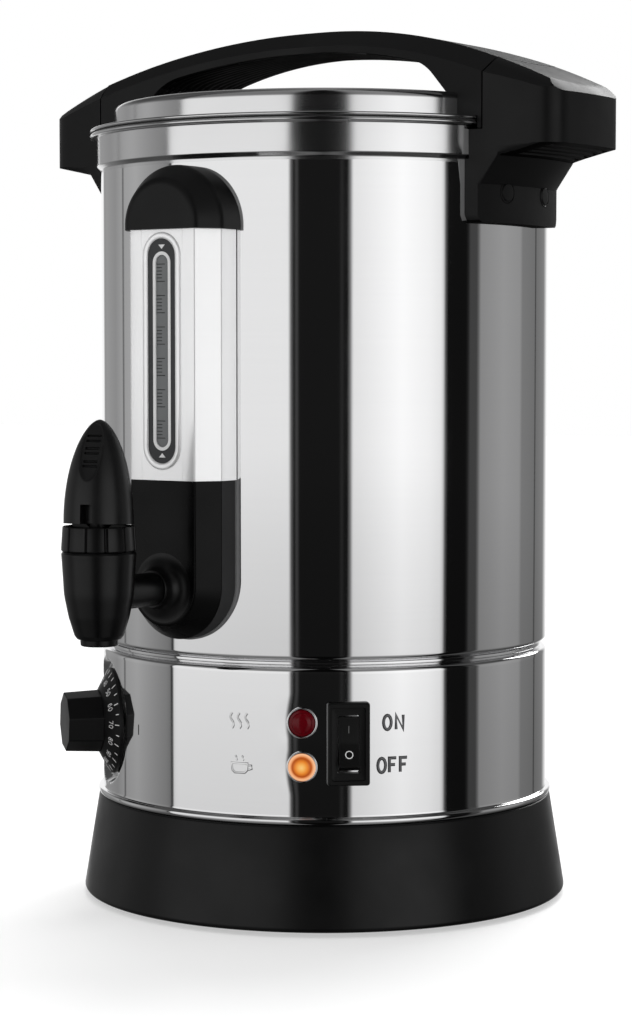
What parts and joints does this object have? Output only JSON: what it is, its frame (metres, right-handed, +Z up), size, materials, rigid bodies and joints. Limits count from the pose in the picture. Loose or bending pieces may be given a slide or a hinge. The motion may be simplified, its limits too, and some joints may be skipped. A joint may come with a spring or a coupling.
{
  "type": "mulled wine urn",
  "caption": "Electric urn for hot drinks: steel tank on a heated base, with a lift-off lid under an arched handle, side handles, a sight gauge, a lever tap, a dial, lamps and a switch.",
  "frame": {"origin": "on the tank's axis, on the plane of the feet's undersides", "axes": "+Z up along the tank's axis, -Y towards the tap, +X towards the right side handle"},
  "size_m": [0.275, 0.2835, 0.385],
  "materials": {
    "polished_steel": "mirror polished",
    "satin_steel": "finely brushed",
    "fastener_steel": "zinc plated",
    "base_plastic": "satin moulded",
    "handle_plastic": "fine grain",
    "tap_plastic": "satin moulded",
    "knob_plastic": "satin moulded",
    "switch_plastic": "moulded",
    "panel_black": "gloss",
    "chrome_trim": "bright",
    "sight_glass": "clear",
    "red_lens": "clear moulded",
    "amber_lens": "clear moulded, lit",
    "silicone": "silicone",
    "foot_rubber": "moulded",
    "aluminium_plate": "milled",
    "element_sheath": "heat darkened",
    "cream_moulding": "moulded",
    "copper": "drawn tube",
    "brass_blade": "stamped",
    "wire_red": "silicone insulation"
  },
  "bodies": {
    "urn": {"base_skirt": "base_plastic", "base_plate": "fastener_steel", "feet": "foot_rubber", "center_stud": "fastener_steel", "center_nut": "fastener_steel", "lower_shell": "polished_steel", "tank": "polished_steel", "spreader_plate": "aluminium_plate", "heating_element": "element_sheath", "thermal_cutout": "cream_moulding", "thermostat_body": "cream_moulding", "thermostat_screws": "fastener_steel", "thermostat_capillary": "copper", "terminal_block": "cream_moulding", "wiring": "wire_red", "heating_lamp_bezel": "chrome_trim", "heating_lamp_lens": "red_lens", "warm_lamp_bezel": "chrome_trim", "warm_lamp_lens": "amber_lens", "lamp_nuts": "cream_moulding", "switch_frame": "switch_plastic", "switch_terminals": "brass_blade", "cord_gland": "knob_plastic", "gland_nut": "knob_plastic", "gauge_cover": "satin_steel", "gauge_bezel": "chrome_trim", "gauge_panel": "panel_black", "sight_tube": "sight_glass", "tube_seals": "silicone", "gauge_cap": "handle_plastic", "tap_housing": "handle_plastic", "tap_body": "tap_plastic", "shank_washer": "silicone", "shank_nut": "tap_plastic", "tap_collar": "tap_plastic", "tap_spring": "fastener_steel", "left_handle": "handle_plastic", "right_handle": "handle_plastic", "handle_studs": "fastener_steel", "handle_nuts": "fastener_steel", "handle_plugs": "handle_plastic"},
    "tap_stem": {"valve_stem": "fastener_steel", "valve_seal": "silicone", "lever_pin": "fastener_steel"},
    "tap_lever": {"tap_lever": "tap_plastic"},
    "dial_knob": {"dial_knob": "knob_plastic", "thermostat_shaft": "fastener_steel"},
    "rocker": {"rocker": "switch_plastic"},
    "lid_seal": {"lid_seal": "silicone"},
    "lid": {"lid": "satin_steel", "lid_arch": "handle_plastic", "lid_screws": "fastener_steel"}
  },
  "joints": [
    {"name": "lid_lift", "type": "slide", "parent": "urn", "child": "lid_seal", "axis": [0, 0, 1], "range_m": [0, 0.25]},
    {"name": "lid_turn", "type": "hinge", "parent": "lid_seal", "child": "lid", "pos_m": [0, 0, 0.34], "axis": [0, 0, 1], "range_deg": [0, 45]},
    {"name": "stem_lift", "type": "slide", "parent": "urn", "child": "tap_stem", "axis": [0, 0, 1], "range_m": [0, 0.006], "stiffness_N_per_m": 300, "springref_m": -0.001, "deforming": ["tap_spring"]},
    {"name": "lever_tilt", "type": "hinge", "parent": "tap_stem", "child": "tap_lever", "pos_m": [0, -0.1594, 0.1833], "axis": [0.9848, 0.1736, 0], "range_deg": [0, 50]},
    {"name": "dial_turn", "type": "hinge", "parent": "urn", "child": "dial_knob", "pos_m": [-0.06235, -0.07431, 0.08], "axis": [-0.6428, -0.766, 0], "range_deg": [-180, 90]},
    {"name": "rocker_tilt", "type": "hinge", "parent": "urn", "child": "rocker", "pos_m": [0.06332, -0.07414, 0.0803], "axis": [0.7604, 0.6494, 0], "range_deg": [0, 20]}
  ],
  "couplings": [
    {"joint": "lever_tilt", "follows": "stem_lift", "rad_per_m": 145.44}
  ]
}
